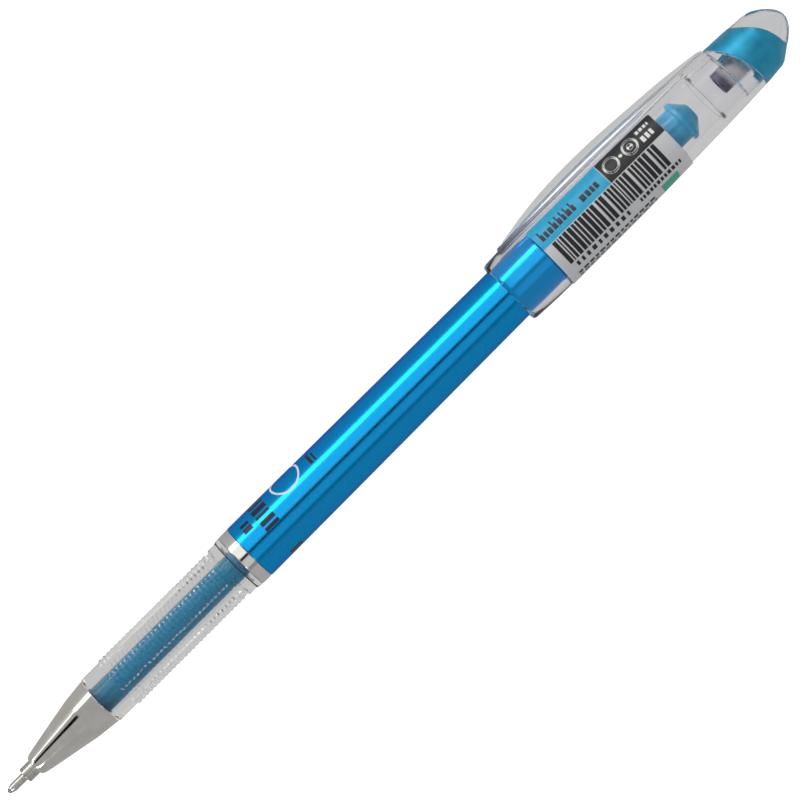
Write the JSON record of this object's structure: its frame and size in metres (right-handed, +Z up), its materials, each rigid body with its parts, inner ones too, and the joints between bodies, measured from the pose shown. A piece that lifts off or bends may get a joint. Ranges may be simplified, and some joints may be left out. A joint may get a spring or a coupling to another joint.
{
  "type": "gel pen",
  "caption": "Slim capped gel pen with a needle point, clear ribbed grip, round metallic blue barrel and a clear bowed-clip cap posted on its tail.",
  "frame": {"origin": "on the surface the pen lies on, under the middle of its length and width", "axes": "+X along the pen towards the writing point, +Y across it, +Z up; the pen rests on the cap and the clip, with the clip on the -Y side"},
  "size_m": [0.152, 0.0124, 0.0107],
  "materials": {
    "tip_steel": "fine turned stainless steel",
    "ball_carbide": "polished tungsten carbide",
    "cone_nickel": "nickel-plated brass, warm grey",
    "holder_acetal": "natural acetal",
    "tube_polypropylene": "clear extruded polypropylene",
    "ink_gel": "metallic blue gel ink",
    "follower_grease": "clear amber grease",
    "clear_styrene": "water-clear moulded plastic, polished",
    "ring_chrome": "chromed plastic ring",
    "barrel_blue": "metallised blue lacquer under clear coat",
    "plug_blue": "tinted translucent blue",
    "band_teal": "pearl teal-blue, satin",
    "seal_elastomer": "translucent grey elastomer",
    "label_film": "printed film"
  },
  "bodies": {
    "pen_body": {"barrel": "barrel_blue", "tail_plug": "plug_blue", "front_joint": "clear_styrene", "barrel_ring": "ring_chrome", "grip_section": "clear_styrene", "nose_cone": "cone_nickel", "writing_tip": "tip_steel", "tip_holder": "holder_acetal", "ink_tube": "tube_polypropylene", "gel_ink": "ink_gel"},
    "ball": {"ball": "ball_carbide"},
    "follower": {"ink_follower": "follower_grease"},
    "cap": {"cap_shell": "clear_styrene", "inner_cap": "clear_styrene", "nib_seal": "seal_elastomer", "cap_band": "band_teal", "cap_crown": "clear_styrene", "cap_label": "label_film"},
    "clip": {"cap_clip": "clear_styrene"}
  },
  "joints": [
    {"name": "cap_slide", "type": "slide", "parent": "pen_body", "child": "cap", "axis": [-1, 0, 0], "range_m": [0, 0.045]},
    {"name": "clip_flex", "type": "hinge", "parent": "cap", "child": "clip", "pos_m": [-0.0641, -0.0035, 0.00271], "axis": [0, 0.5137, -0.858], "range_deg": [0, 3], "stiffness_Nm_per_rad": 0.2, "springref_deg": -2.86},
    {"name": "ball_roll", "type": "hinge", "parent": "pen_body", "child": "ball", "pos_m": [0.0756, 0.00075, 0.00525], "axis": [0, 1, 0], "continuous": true},
    {"name": "follower_slide", "type": "slide", "parent": "pen_body", "child": "follower", "axis": [1, 0, 0], "range_m": [0, 0.075], "deforming": ["gel_ink"]}
  ]
}
